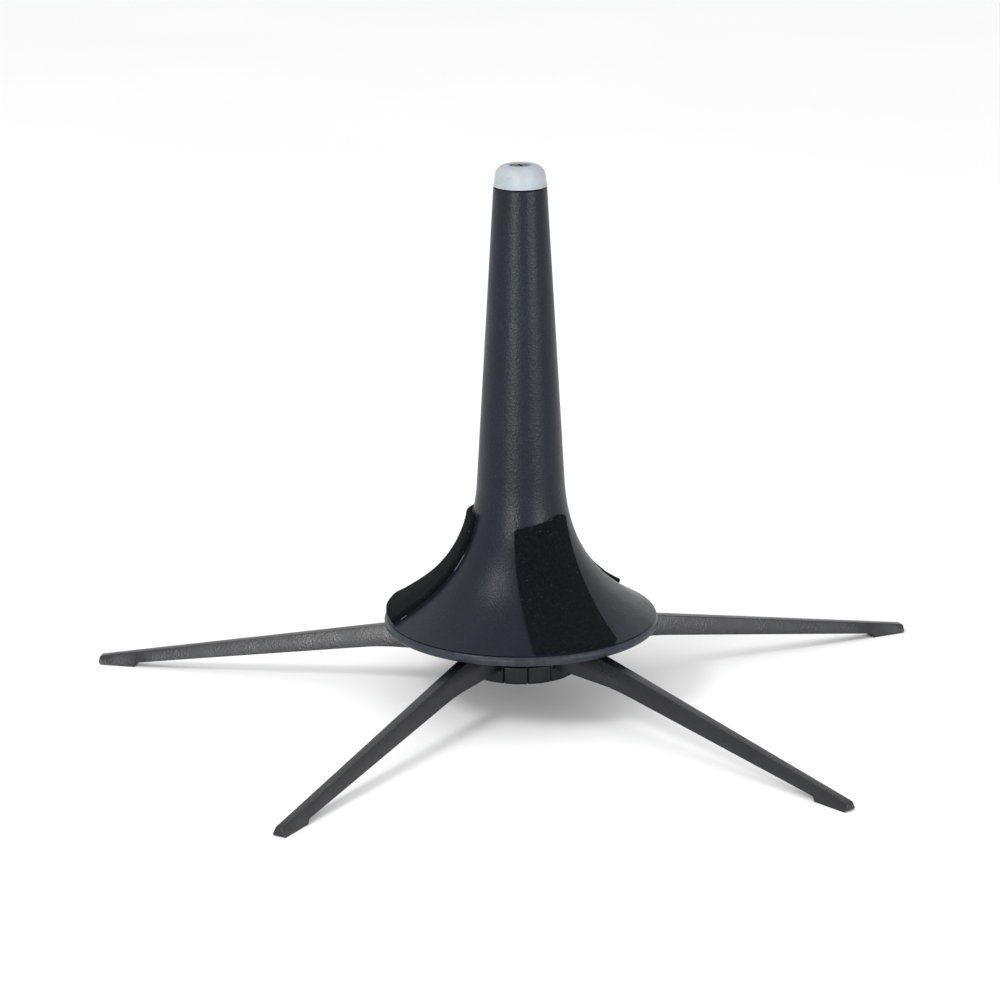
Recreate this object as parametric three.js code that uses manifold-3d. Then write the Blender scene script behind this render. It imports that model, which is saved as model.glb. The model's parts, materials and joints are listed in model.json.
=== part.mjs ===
// A folding in-bell trumpet stand: a flared cone that fills the bell, on a hub with five hinged legs.
// Millimetres, +Z up. Inside the stand's own group, z = 0 is the floor that the feet stand on; the
// exported group is lowered so that its origin is the centre of the hub cover's flat underside.

import * as THREE from 'three';
import { mergeVertices } from 'three/addons/utils/BufferGeometryUtils.js';
import Module from 'manifold-3d';

// ---- driving dimensions ----

// Clearance kept between pieces that touch, and around pieces that turn.
const GAP = 0.3;

// How far the cutting shapes run past the faces that they cut.
const CUTTER_OVERRUN = 1;
const CHAMFER_OVERRUN = 0.1;

// Five legs at an even pitch. Azimuths are in degrees from -Y towards +X.
const LEG_COUNT = 5;
const LEG_PITCH = 360 / LEG_COUNT;
const FIRST_LEG_AZIMUTH = -29.4;

// Hinge: a tangential pin through each leg's knuckle.
const PIN_RADIUS = 1.5;
const PIN_HOLE_RADIUS = 1.78;
const PIN_LENGTH = 14;
const HINGE_RADIUS = 15;
const HINGE_Z = 20.4;
const KNUCKLE_RADIUS = 5.1;

// Leg: a tapering bar, flat over the hub, then falling to a flat foot.
const LEG_ROOT_TOP = 25.2;
const LEG_REFERENCE_RADIUS = 54;
const LEG_TOP_AT_REFERENCE = 22.8;
const LEG_TOP_FALL = 0.176;
const LEG_UNDER_AT_REFERENCE = 15.2;
const LEG_UNDER_FALL = 0.14;
const LEG_BEND_HALF_LENGTH = 6.5;
const LEG_ROOT_WIDTH = 7.2;
const LEG_TIP_WIDTH = 5;
const LEG_ROOT_DRAFT = 3;
const LEG_TIP_DRAFT = 2.1;
const LEG_DRAFT_START = 24;
const LEG_DRAFT_FULL = 36;
const LEG_STATIONS = [80, 105, 130];
const FOOT_HEEL_RADIUS = 150.5;
const FOOT_HEEL_RUN = 0.6;
const FOOT_TOE_RADIUS = 164;
const FOOT_END_RADIUS = 164.8;
const FOOT_EDGE = 0.9;

// Hub: a slotted drum whose crown carries the cone.
const HUB_RADIUS = 21.5;
const HUB_SPIGOT_RADIUS = 19.2;
const HUB_BOTTOM = 12.9;
const HUB_DRUM_BOTTOM = 16.9;
const HUB_CORE_RADIUS = 9.6;
const HUB_CORE_TOP = 22;
const HUB_LUG_TOP = 27;
const CROWN_TOP = 36;
const CROWN_BORE_RADIUS = 17.2;
const CROWN_CHAMFER = 0.6;
const SLOT_WIDTH = 7.8;
const SLOT_FLOOR = 15;

// Hub cover: a grooved grip cup that closes the hub from below.
const HUB_CLEARANCE = 10;
const COVER_RADIUS = 21.8;
const COVER_BORE_RADIUS = 19.5;
const COVER_FLOOR_TOP = 12.6;
const COVER_TOP = 16.6;
const GRIP_PANELS = 15;
const GRIP_GROOVE_WIDTH = 0.9;
const GRIP_GROOVE_DEPTH = 0.7;
const GRIP_CHAMFER = 0.6;
const GRIP_BOW = 0.05;
const GRIP_CORNER_DROP = 0.15;
const GRIP_SHOULDER_SHARE = 0.27;

// Five screws hold the cover up against the hub's lugs.
const SCREW_CIRCLE_RADIUS = 13.5;
const SCREW_HEAD_RADIUS = 2.8;
const SCREW_HEAD_HEIGHT = 1.1;
const SCREW_HEAD_CHAMFER = 0.5;
const SCREW_SHANK_RADIUS = 1.3;
const SCREW_HOLE_RADIUS = 1.65;
const SCREW_TIP_Z = 19;
const SCREW_TIP_RADIUS = 0.8;
const SCREW_TIP_LENGTH = 0.8;
const COUNTERBORE_RADIUS = 3.2;
const COUNTERBORE_TOP = 11.5;

// Cone: a straight taper that runs out into a bell-shaped flare with a rounded lip.
const WALL = 2.2;
const CONE_SHOULDER_Z = 191.6;
const CONE_TOP_RADIUS = 9.7;
const CONE_TAPER = 0.0588;
const FLARE_TOP = 82;
const FLARE_BOTTOM = 31;
const FLARE_REACH = 30.9;
const FLARE_SQUARE_SHARE = 0.53;
const LIP_RADIUS = 50.8;
const LIP_BOTTOM = 27.1;
const LIP_CENTRE_Z = 29.3;
const LIP_ROUNDING = 2;
const LIP_INNER_ROUNDING = 1;
const LIP_FLAT = 1.2;
const CONE_SEGMENTS = 48;

// The cone's inner skirt drops over the hub's crown, and its ledge rests on the crown's top.
const SKIRT_OUTER_RADIUS = 24.5;
const SKIRT_BORE_RADIUS = 22;
const SKIRT_BOTTOM = 25.6;
const LEDGE_RADIUS = 19.6;
const SKIRT_ROOT = 49.5;
const BORE_FOOT = 58.5;
const BORE_BEND = [66, 74];
const BORE_TOP = 186;

// The cone ends in a peg, which the cap covers and the cap screw goes into.
const PEG_RADIUS = 7.7;
const PEG_TOP = 195.9;
const PEG_HOLE_RADIUS = 1.8;

// Cap: a soft dome with a recessed screw.
const CAP_BOTTOM = 191.9;
const CAP_TOP = 199.6;
const CAP_RADIUS = 9.75;
const CAP_LIP = 0.45;
const CAP_NECK_RADIUS = 9.45;
const CAP_DOME_RADIUS = 9.15;
const CAP_SHOULDER_RADIUS = 4.3;
const CAP_BORE_RADIUS = 8.05;
const CAP_CEILING = 196.3;
const CAP_SEAT = 197.3;
const CAP_RECESS_RADIUS = 4;
const CAP_RECESS_CHAMFER = 0.3;
const CAP_SCREW_HEAD_RADIUS = 3.65;
const CAP_SCREW_HEAD_TOP = 199.3;
const CAP_SCREW_EDGE = 0.5;
const CAP_SCREW_FACE_RADIUS = 2.6;
const CAP_SCREW_SHANK_RADIUS = 1.5;
const CAP_SCREW_TIP = 187;
const CAP_SCREW_TIP_RADIUS = 1.1;
const CAP_SCREW_TIP_LENGTH = 1;

// Three felt pads lie on the flare, each cut narrower towards the top. They are stuck on by hand,
// so they are only roughly a third of a turn apart.
const PAD_AZIMUTHS = [25, 150, 269];
const PAD_BOTTOM = 31.4;
const PAD_TOP = 70.3;
const PAD_THICKNESS = 2;
const PAD_RIM_WIDTH = 34.7;
const PAD_TOP_WIDTH = 22.6;

// ---- materials ----

function material(color, roughness, metalness = 0) {
  return new THREE.MeshStandardMaterial({ color, roughness, metalness });
}

const conePlastic = () => material(0x1c2025, 0.45);
const legPlastic = () => material(0x2a2b2e, 0.5);
const hubPlastic = () => material(0x24262a, 0.5);
const felt = () => material(0x101214, 0.95);
const capRubber = () => material(0xc9d1da, 0.55);
const steel = () => material(0x6c6f74, 0.35, 1);

// ---- solids ----

const wasm = await Module();
wasm.setup();

// Leaves only position, with the vertices of neighbouring faces shared.
function weld(geometry) {
  geometry.deleteAttribute('normal');
  geometry.deleteAttribute('uv');
  return mergeVertices(geometry, 1e-4);
}

function signedVolume(geometry) {
  const position = geometry.getAttribute('position');
  const index = geometry.getIndex();
  const corners = [new THREE.Vector3(), new THREE.Vector3(), new THREE.Vector3()];
  let sum = 0;
  for (let i = 0; i < index.count; i += 3) {
    corners.forEach((corner, k) => corner.fromBufferAttribute(position, index.getX(i + k)));
    sum += corners[0].dot(corners[1].clone().cross(corners[2]));
  }
  return sum / 6;
}

// Turns the faces of a closed mesh outwards.
function facingOut(geometry) {
  if (signedVolume(geometry) < 0) {
    geometry.getIndex().array.reverse();
  }
  return geometry;
}

function toSolid(geometry) {
  const welded = facingOut(weld(geometry));
  const vertProperties = new Float32Array(welded.getAttribute('position').array);
  const triVerts = new Uint32Array(welded.getIndex().array);
  return new wasm.Manifold(new wasm.Mesh({ numProp: 3, vertProperties, triVerts }));
}

function toGeometry(solid) {
  const mesh = solid.getMesh();
  const geometry = new THREE.BufferGeometry();
  geometry.setAttribute('position', new THREE.BufferAttribute(mesh.vertProperties, 3));
  geometry.setIndex(new THREE.BufferAttribute(mesh.triVerts, 1));
  geometry.computeVertexNormals();
  return geometry;
}

function cut(geometry, tools) {
  const result = tools.reduce((solid, tool) => solid.subtract(toSolid(tool)), toSolid(geometry));
  return toGeometry(result);
}

// Revolves a profile of [radius, z] pairs about Z. The profile closes on itself or ends on the axis.
function revolve(profile, segments) {
  const points = profile.map(([radius, z]) => new THREE.Vector2(radius, z));
  const geometry = new THREE.LatheGeometry(points, segments);
  geometry.rotateX(Math.PI / 2);
  return facingOut(weld(geometry));
}

function closedRing(profile) {
  return [...profile, profile[0]];
}

// A cylinder about Z between two heights.
function upright(radius, bottom, top, segments) {
  const geometry = new THREE.CylinderGeometry(radius, radius, top - bottom, segments);
  geometry.rotateX(Math.PI / 2);
  geometry.translate(0, 0, (bottom + top) / 2);
  return geometry;
}

// A quarter round in the [radius, z] plane, from one angle to another in degrees.
function arcPoints(centreRadius, centreZ, size, fromDegrees, toDegrees, steps) {
  return Array.from({ length: steps + 1 }, (_, i) => {
    const angle = THREE.MathUtils.degToRad(fromDegrees + ((toDegrees - fromDegrees) * i) / steps);
    return [centreRadius + size * Math.cos(angle), centreZ + size * Math.sin(angle)];
  });
}

// Turns a shape built along +X to point along an azimuth measured from -Y towards +X.
function turnTo(azimuth) {
  return THREE.MathUtils.degToRad(azimuth - 90);
}

function legAzimuth(i) {
  return FIRST_LEG_AZIMUTH + i * LEG_PITCH;
}

function lugAzimuth(i) {
  return legAzimuth(i) + LEG_PITCH / 2;
}

function piece(name, geometry, meshMaterial, azimuth = null) {
  const mesh = new THREE.Mesh(geometry, meshMaterial);
  mesh.name = name;
  if (azimuth !== null) {
    mesh.rotation.z = turnTo(azimuth);
  }
  return mesh;
}

// ---- cone ----

function taperRadius(z) {
  return CONE_TOP_RADIUS + (CONE_SHOULDER_Z - z) * CONE_TAPER;
}

// Outer radius of the cone: the taper, plus a flare that grows with the square and the fourth power.
function coneRadius(z) {
  const run = Math.max(0, (FLARE_TOP - z) / (FLARE_TOP - FLARE_BOTTOM));
  const flare = FLARE_SQUARE_SHARE * run ** 2 + (1 - FLARE_SQUARE_SHARE) * run ** 4;
  return taperRadius(z) + FLARE_REACH * flare;
}

// The point at a given distance outside the cone's surface, or inside it where that is negative.
function offsetPoint(z, distance) {
  const step = 0.01;
  const slope = (coneRadius(z + step) - coneRadius(z - step)) / (2 * step);
  const length = Math.hypot(slope, 1);
  return [coneRadius(z) + distance / length, z - (distance * slope) / length];
}

// Heights down the flare, closer together towards its lip.
function flareHeights(steps, top, bottom) {
  return Array.from({ length: steps + 1 }, (_, i) => {
    const left = 1 - i / steps;
    return bottom + (top - bottom) * left ** 1.4;
  });
}

function coneShell() {
  const outside = flareHeights(13, FLARE_TOP, FLARE_BOTTOM).map((z) => [coneRadius(z), z]);
  const lip = [
    ...arcPoints(LIP_RADIUS - LIP_ROUNDING, LIP_CENTRE_Z, LIP_ROUNDING, 40, 0, 3),
    ...arcPoints(
      LIP_RADIUS - LIP_INNER_ROUNDING, LIP_BOTTOM + LIP_INNER_ROUNDING, LIP_INNER_ROUNDING, 0, -90, 3,
    ),
    [LIP_RADIUS - LIP_INNER_ROUNDING - LIP_FLAT, LIP_BOTTOM],
  ];
  const flareInside = flareHeights(8, FLARE_TOP, FLARE_BOTTOM)
    .reverse()
    .map((z) => offsetPoint(z, -WALL))
    .filter(([radius]) => radius > SKIRT_OUTER_RADIUS + 1);
  const skirt = [
    [SKIRT_OUTER_RADIUS, SKIRT_ROOT],
    [SKIRT_OUTER_RADIUS, SKIRT_BOTTOM],
    [SKIRT_BORE_RADIUS, SKIRT_BOTTOM],
    [SKIRT_BORE_RADIUS, CROWN_TOP + GAP],
    [LEDGE_RADIUS, CROWN_TOP + GAP],
  ];
  const bore = [
    [LEDGE_RADIUS, BORE_FOOT],
    ...BORE_BEND.map((z) => [coneRadius(z) - WALL, z]),
    [taperRadius(FLARE_TOP) - WALL, FLARE_TOP],
    [taperRadius(BORE_TOP) - WALL, BORE_TOP],
  ];
  const peg = [
    [PEG_HOLE_RADIUS, BORE_TOP],
    [PEG_HOLE_RADIUS, PEG_TOP],
    [PEG_RADIUS, PEG_TOP],
    [PEG_RADIUS, CONE_SHOULDER_Z],
    [CONE_TOP_RADIUS, CONE_SHOULDER_Z],
  ];
  const profile = [...outside, ...lip, ...flareInside, ...skirt, ...bore, ...peg];
  return revolve(closedRing(profile), CONE_SEGMENTS);
}

function endCap() {
  const shoulder = arcPoints(
    CAP_DOME_RADIUS - CAP_SHOULDER_RADIUS, CAP_TOP - CAP_SHOULDER_RADIUS,
    CAP_SHOULDER_RADIUS, 5, 90, 6,
  );
  const profile = [
    [CAP_BORE_RADIUS, CAP_BOTTOM],
    [CAP_RADIUS, CAP_BOTTOM],
    [CAP_RADIUS, CAP_BOTTOM + CAP_LIP],
    [CAP_NECK_RADIUS, CAP_BOTTOM + 2 * CAP_LIP],
    ...shoulder,
    [CAP_RECESS_RADIUS + CAP_RECESS_CHAMFER, CAP_TOP],
    [CAP_RECESS_RADIUS, CAP_TOP - CAP_RECESS_CHAMFER],
    [CAP_RECESS_RADIUS, CAP_SEAT],
    [PEG_HOLE_RADIUS, CAP_SEAT],
    [PEG_HOLE_RADIUS, CAP_CEILING],
    [CAP_BORE_RADIUS, CAP_CEILING],
  ];
  return revolve(closedRing(profile), 32);
}

function capScrew() {
  return revolve([
    [0, CAP_SCREW_TIP],
    [CAP_SCREW_TIP_RADIUS, CAP_SCREW_TIP],
    [CAP_SCREW_SHANK_RADIUS, CAP_SCREW_TIP + CAP_SCREW_TIP_LENGTH],
    [CAP_SCREW_SHANK_RADIUS, CAP_SEAT + GAP],
    [CAP_SCREW_HEAD_RADIUS, CAP_SEAT + GAP],
    [CAP_SCREW_HEAD_RADIUS, CAP_SCREW_HEAD_TOP - CAP_SCREW_EDGE],
    [CAP_SCREW_FACE_RADIUS, CAP_SCREW_HEAD_TOP],
    [0, CAP_SCREW_HEAD_TOP],
  ], 16);
}

// A strip of felt wrapped onto the flare: a box bent so that its length follows the flare's slope.
function feltPad() {
  const geometry = new THREE.BoxGeometry(1, 1, 1, 10, 9, 1);
  const position = geometry.getAttribute('position');
  for (let i = 0; i < position.count; i += 1) {
    const along = position.getY(i) + 0.5;
    const z = PAD_BOTTOM + (PAD_TOP - PAD_BOTTOM) * along ** 1.4;
    const width = THREE.MathUtils.lerp(PAD_RIM_WIDTH, PAD_TOP_WIDTH, along);
    const angle = (position.getX(i) * width) / (coneRadius(z) + PAD_THICKNESS);
    const [radius, height] = offsetPoint(z, GAP + (position.getZ(i) + 0.5) * PAD_THICKNESS);
    position.setXYZ(i, radius * Math.cos(angle), radius * Math.sin(angle), height);
  }
  return facingOut(weld(geometry));
}

// ---- legs ----

function legTop(radius) {
  const falling = LEG_TOP_AT_REFERENCE - LEG_TOP_FALL * (radius - LEG_REFERENCE_RADIUS);
  return Math.min(LEG_ROOT_TOP, falling);
}

function legUnderside(radius) {
  const falling = LEG_UNDER_AT_REFERENCE - LEG_UNDER_FALL * (radius - LEG_REFERENCE_RADIUS);
  return Math.min(HINGE_Z - KNUCKLE_RADIUS, falling);
}

// The leg seen from the side, as radius from the stand's axis against height above the floor.
function legOutline() {
  const rootUnder = HINGE_Z - KNUCKLE_RADIUS;
  const underBend = LEG_REFERENCE_RADIUS - (rootUnder - LEG_UNDER_AT_REFERENCE) / LEG_UNDER_FALL;
  const topBend = LEG_REFERENCE_RADIUS - (LEG_ROOT_TOP - LEG_TOP_AT_REFERENCE) / LEG_TOP_FALL;
  const bendEnd = underBend + LEG_BEND_HALF_LENGTH;
  const heelStart = FOOT_HEEL_RADIUS - FOOT_HEEL_RUN;
  const knuckleTop = Math.asin((LEG_ROOT_TOP - HINGE_Z) / KNUCKLE_RADIUS);

  const shape = new THREE.Shape();
  shape.moveTo(HINGE_RADIUS, rootUnder);
  shape.lineTo(LEG_DRAFT_START, rootUnder);
  shape.lineTo(LEG_DRAFT_FULL, rootUnder);
  shape.lineTo(underBend - LEG_BEND_HALF_LENGTH, rootUnder);
  shape.quadraticCurveTo(underBend, rootUnder, bendEnd, legUnderside(bendEnd));
  LEG_STATIONS.forEach((radius) => shape.lineTo(radius, legUnderside(radius)));
  shape.lineTo(heelStart, legUnderside(heelStart));
  shape.lineTo(FOOT_HEEL_RADIUS, 0);
  shape.lineTo(FOOT_TOE_RADIUS, 0);
  shape.lineTo(FOOT_END_RADIUS, FOOT_EDGE);
  shape.lineTo(FOOT_END_RADIUS, legTop(FOOT_TOE_RADIUS) - FOOT_EDGE);
  shape.lineTo(FOOT_TOE_RADIUS, legTop(FOOT_TOE_RADIUS));
  [...LEG_STATIONS].reverse().forEach((radius) => shape.lineTo(radius, legTop(radius)));
  shape.lineTo(topBend, LEG_ROOT_TOP);
  shape.lineTo(LEG_DRAFT_FULL, LEG_ROOT_TOP);
  shape.lineTo(LEG_DRAFT_START, LEG_ROOT_TOP);
  shape.absarc(HINGE_RADIUS, HINGE_Z, KNUCKLE_RADIUS, Math.PI - knuckleTop, 1.5 * Math.PI, false);
  return shape;
}

// Full width of the leg. Its sides lean in towards the top, except at the knuckle.
function legWidth(radius, z) {
  const along = THREE.MathUtils.clamp(
    (radius - LEG_DRAFT_START) / (FOOT_END_RADIUS - LEG_DRAFT_START), 0, 1,
  );
  const height = (z - legUnderside(radius)) / (legTop(radius) - legUnderside(radius));
  const draft = THREE.MathUtils.lerp(LEG_ROOT_DRAFT, LEG_TIP_DRAFT, along)
    * THREE.MathUtils.smoothstep(radius, LEG_DRAFT_START, LEG_DRAFT_FULL);
  return THREE.MathUtils.lerp(LEG_ROOT_WIDTH, LEG_TIP_WIDTH, along)
    - draft * THREE.MathUtils.clamp(height, 0, 1);
}

// A bar across the leg's direction, about the hinge axis.
function hingeBar(radius, from, to, segments) {
  const geometry = new THREE.CylinderGeometry(radius, radius, to - from, segments);
  geometry.translate(0, (from + to) / 2, 0);
  geometry.translate(HINGE_RADIUS, 0, HINGE_Z);
  return geometry;
}

function leg() {
  const options = { depth: 1, bevelEnabled: false, curveSegments: 10 };
  const geometry = new THREE.ExtrudeGeometry(legOutline(), options);
  const position = geometry.getAttribute('position');
  for (let i = 0; i < position.count; i += 1) {
    const radius = position.getX(i);
    const z = position.getY(i);
    position.setXYZ(i, radius, (0.5 - position.getZ(i)) * legWidth(radius, z), z);
  }
  return cut(geometry, [hingeBar(PIN_HOLE_RADIUS, -LEG_ROOT_WIDTH, LEG_ROOT_WIDTH, 20)]);
}

function hingePin() {
  return facingOut(weld(hingeBar(PIN_RADIUS, -PIN_LENGTH / 2, PIN_LENGTH / 2, 16)));
}

// ---- hub ----

// A block along a leg's direction, turned to its azimuth.
function radialBlock(azimuth, inner, outer, width, bottom, top) {
  const geometry = new THREE.BoxGeometry(outer - inner, width, top - bottom);
  geometry.translate((inner + outer) / 2, 0, (bottom + top) / 2);
  geometry.rotateZ(turnTo(azimuth));
  return geometry;
}

function onScrewCircle(geometry, azimuth) {
  geometry.translate(SCREW_CIRCLE_RADIUS, 0, 0);
  geometry.rotateZ(turnTo(azimuth));
  return geometry;
}

// A slotted drum. Above the core each slot runs further in, so that a folded leg can lean inwards.
// Each pin hole is open on one side, where its pin is pushed in.
function legHub() {
  const drum = revolve([
    [0, HUB_BOTTOM],
    [HUB_SPIGOT_RADIUS, HUB_BOTTOM],
    [HUB_SPIGOT_RADIUS, HUB_DRUM_BOTTOM],
    [HUB_RADIUS, HUB_DRUM_BOTTOM],
    [HUB_RADIUS, CROWN_TOP - CROWN_CHAMFER],
    [HUB_RADIUS - CROWN_CHAMFER, CROWN_TOP],
    [CROWN_BORE_RADIUS, CROWN_TOP],
    [CROWN_BORE_RADIUS, HUB_LUG_TOP],
    [HUB_CORE_RADIUS, HUB_LUG_TOP],
    [HUB_CORE_RADIUS, HUB_CORE_TOP],
    [0, HUB_CORE_TOP],
  ], 60);
  const beyond = HUB_RADIUS + 2 * CUTTER_OVERRUN;
  const above = CROWN_TOP + CUTTER_OVERRUN;
  const below = HUB_BOTTOM - CUTTER_OVERRUN;
  const tools = [];
  for (let i = 0; i < LEG_COUNT; i += 1) {
    const pinHole = hingeBar(PIN_HOLE_RADIUS, -PIN_LENGTH / 2 - GAP, HUB_RADIUS, 20);
    pinHole.rotateZ(turnTo(legAzimuth(i)));
    tools.push(radialBlock(
      legAzimuth(i), HUB_CORE_RADIUS, beyond, SLOT_WIDTH, SLOT_FLOOR, above,
    ));
    tools.push(radialBlock(
      legAzimuth(i), SLOT_WIDTH / 2, beyond, SLOT_WIDTH, HUB_CORE_TOP, above,
    ));
    tools.push(pinHole);
    tools.push(onScrewCircle(
      upright(SCREW_HOLE_RADIUS, below, SCREW_TIP_Z + GAP, 16), lugAzimuth(i),
    ));
  }
  return cut(drum, tools);
}

// The cover's outline: gently bowed panels with a narrow groove between each two.
function gripOutline(radius) {
  const pitch = (2 * Math.PI) / GRIP_PANELS;
  const halfGroove = GRIP_GROOVE_WIDTH / 2 / radius;
  const firstGroove = turnTo(FIRST_LEG_AZIMUTH) + pitch / 2;
  const points = [];
  for (let k = 0; k < GRIP_PANELS; k += 1) {
    const groove = firstGroove + k * pitch;
    const corners = [
      [groove, radius - GRIP_GROOVE_DEPTH],
      [groove + halfGroove, radius - GRIP_CORNER_DROP],
      [groove + pitch * GRIP_SHOULDER_SHARE, radius],
      [groove + pitch / 2, radius + GRIP_BOW],
      [groove + pitch * (1 - GRIP_SHOULDER_SHARE), radius],
      [groove + pitch - halfGroove, radius - GRIP_CORNER_DROP],
    ];
    corners.forEach(([angle, reach]) => {
      points.push(new THREE.Vector2(reach * Math.cos(angle), reach * Math.sin(angle)));
    });
  }
  return new THREE.Shape(points);
}

// A grooved cup with a chamfered foot, a notch under each leg and five counterbored screw holes.
function hubCover() {
  const geometry = new THREE.ExtrudeGeometry(gripOutline(COVER_RADIUS), {
    depth: COVER_TOP - HUB_CLEARANCE, bevelEnabled: false,
  });
  geometry.translate(0, 0, HUB_CLEARANCE);
  const below = HUB_CLEARANCE - CUTTER_OVERRUN;
  const beyond = COVER_RADIUS + 2 * CUTTER_OVERRUN;
  const chamferTop = HUB_CLEARANCE + GRIP_CHAMFER;
  const chamferInner = COVER_RADIUS - GRIP_CHAMFER - CHAMFER_OVERRUN;
  const footChamfer = revolve(closedRing([
    [chamferInner, below],
    [beyond, below],
    [beyond, chamferTop + 2 * CUTTER_OVERRUN],
    [COVER_RADIUS + CHAMFER_OVERRUN, chamferTop + CHAMFER_OVERRUN],
    [chamferInner, HUB_CLEARANCE - CHAMFER_OVERRUN],
  ]), 60);
  const bore = upright(COVER_BORE_RADIUS, COVER_FLOOR_TOP, COVER_TOP + CUTTER_OVERRUN, 60);
  const tools = [footChamfer, bore];
  for (let i = 0; i < LEG_COUNT; i += 1) {
    tools.push(radialBlock(
      legAzimuth(i), HUB_CORE_RADIUS, beyond, SLOT_WIDTH, SLOT_FLOOR, COVER_TOP + CUTTER_OVERRUN,
    ));
    tools.push(onScrewCircle(
      upright(SCREW_HOLE_RADIUS, HUB_CLEARANCE, COVER_TOP, 16), lugAzimuth(i),
    ));
    tools.push(onScrewCircle(
      upright(COUNTERBORE_RADIUS, below, COUNTERBORE_TOP, 24), lugAzimuth(i),
    ));
  }
  return cut(geometry, tools);
}

// A pan-head screw that points up, with its head in the cover's counterbore.
function coverScrew() {
  const headTop = COUNTERBORE_TOP - GAP;
  const headBottom = headTop - SCREW_HEAD_HEIGHT;
  const geometry = revolve([
    [0, headBottom],
    [SCREW_HEAD_RADIUS - SCREW_HEAD_CHAMFER, headBottom],
    [SCREW_HEAD_RADIUS, headBottom + SCREW_HEAD_CHAMFER],
    [SCREW_HEAD_RADIUS, headTop],
    [SCREW_SHANK_RADIUS, headTop],
    [SCREW_SHANK_RADIUS, SCREW_TIP_Z - SCREW_TIP_LENGTH],
    [SCREW_TIP_RADIUS, SCREW_TIP_Z],
    [0, SCREW_TIP_Z],
  ], 16);
  geometry.translate(SCREW_CIRCLE_RADIUS, 0, 0);
  return geometry;
}

// ---- assembly ----

const stand = new THREE.Group();
stand.position.z = -HUB_CLEARANCE;
stand.add(piece('leg_hub', legHub(), hubPlastic()));
stand.add(piece('hub_cover', hubCover(), hubPlastic()));
for (let i = 0; i < LEG_COUNT; i += 1) {
  stand.add(piece(`leg_${i + 1}`, leg(), legPlastic(), legAzimuth(i)));
  stand.add(piece(`hinge_pin_${i + 1}`, hingePin(), steel(), legAzimuth(i)));
  stand.add(piece(`cover_screw_${i + 1}`, coverScrew(), steel(), lugAzimuth(i)));
}
stand.add(piece('cone_shell', coneShell(), conePlastic()));
stand.add(piece('end_cap', endCap(), capRubber()));
stand.add(piece('cap_screw', capScrew(), steel()));
PAD_AZIMUTHS.forEach((azimuth, i) => {
  stand.add(piece(`felt_pad_${i + 1}`, feltPad(), felt(), azimuth));
});

const group = new THREE.Group();
group.add(stand);

export default group;
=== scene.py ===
"""Looks of the folding in-bell trumpet stand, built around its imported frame. Metres, +Z up."""
import json
import math

import bmesh
import bpy
from mathutils import Matrix, Vector, noise


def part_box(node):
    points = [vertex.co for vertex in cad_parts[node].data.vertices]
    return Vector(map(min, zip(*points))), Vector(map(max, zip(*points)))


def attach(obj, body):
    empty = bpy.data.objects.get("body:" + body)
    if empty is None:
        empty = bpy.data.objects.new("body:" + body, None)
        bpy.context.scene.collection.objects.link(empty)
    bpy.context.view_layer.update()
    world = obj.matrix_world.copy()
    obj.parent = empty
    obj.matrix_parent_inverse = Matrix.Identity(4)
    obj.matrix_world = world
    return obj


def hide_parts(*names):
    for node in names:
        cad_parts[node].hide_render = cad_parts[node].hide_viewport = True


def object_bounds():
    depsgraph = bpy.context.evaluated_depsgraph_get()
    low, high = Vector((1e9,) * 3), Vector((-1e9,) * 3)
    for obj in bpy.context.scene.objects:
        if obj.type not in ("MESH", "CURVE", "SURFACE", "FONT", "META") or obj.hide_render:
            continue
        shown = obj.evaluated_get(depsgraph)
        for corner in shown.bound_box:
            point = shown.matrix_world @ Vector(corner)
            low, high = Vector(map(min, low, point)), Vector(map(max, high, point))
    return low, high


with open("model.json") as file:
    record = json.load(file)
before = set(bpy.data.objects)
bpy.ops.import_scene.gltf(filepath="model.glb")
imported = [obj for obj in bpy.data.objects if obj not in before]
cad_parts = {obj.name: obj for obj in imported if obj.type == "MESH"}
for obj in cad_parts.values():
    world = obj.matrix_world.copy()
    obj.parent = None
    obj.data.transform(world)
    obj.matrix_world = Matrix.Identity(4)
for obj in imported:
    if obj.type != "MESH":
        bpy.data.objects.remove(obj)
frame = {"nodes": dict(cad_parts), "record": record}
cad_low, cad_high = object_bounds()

# ---- sizes and places ----

MM = 0.001
FLOOR_Z = cad_low.z
CONE_LOW, CONE_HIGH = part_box("cone_shell")
CAP_LOW, CAP_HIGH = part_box("end_cap")
RIM_RADIUS = (CONE_HIGH.x - CONE_LOW.x) / 2
CAP_RADIUS = (CAP_HIGH.x - CAP_LOW.x) / 2
COVER_RADIUS = 21.8 * MM
JOINTS = {joint["name"]: joint for joint in frame["record"]["behaviour"]["joints"]}
LEG_NUMBERS = range(1, 6)
LEG_PITCH = math.tau / len(LEG_NUMBERS)
PAD_NUMBERS = range(1, 4)


def height(millimetres):
    """A height above the floor, in the frame's own z."""
    return FLOOR_Z + millimetres * MM


def leg_azimuth(number):
    """Direction of a leg about the stand's axis, as an angle from +X towards +Y."""
    place = JOINTS[f"leg_{number}_fold"]["pos_m"]
    return math.atan2(place[1], place[0])


# ---- mesh helpers ----

def link(mesh, name):
    obj = bpy.data.objects.new(name, mesh)
    bpy.context.scene.collection.objects.link(obj)
    return obj


def from_faces(name, points, faces):
    mesh = bpy.data.meshes.new(name)
    mesh.from_pydata([tuple(p) for p in points], [], faces)
    mesh.update()
    work = bmesh.new()
    work.from_mesh(mesh)
    bmesh.ops.recalc_face_normals(work, faces=work.faces)
    work.to_mesh(mesh)
    work.free()
    return link(mesh, name)


def apply_modifiers(obj):
    """Turns the object's modifiers into its mesh."""
    graph = bpy.context.evaluated_depsgraph_get()
    result = bpy.data.meshes.new_from_object(obj.evaluated_get(graph))
    obj.modifiers.clear()
    obj.data = result


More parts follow.
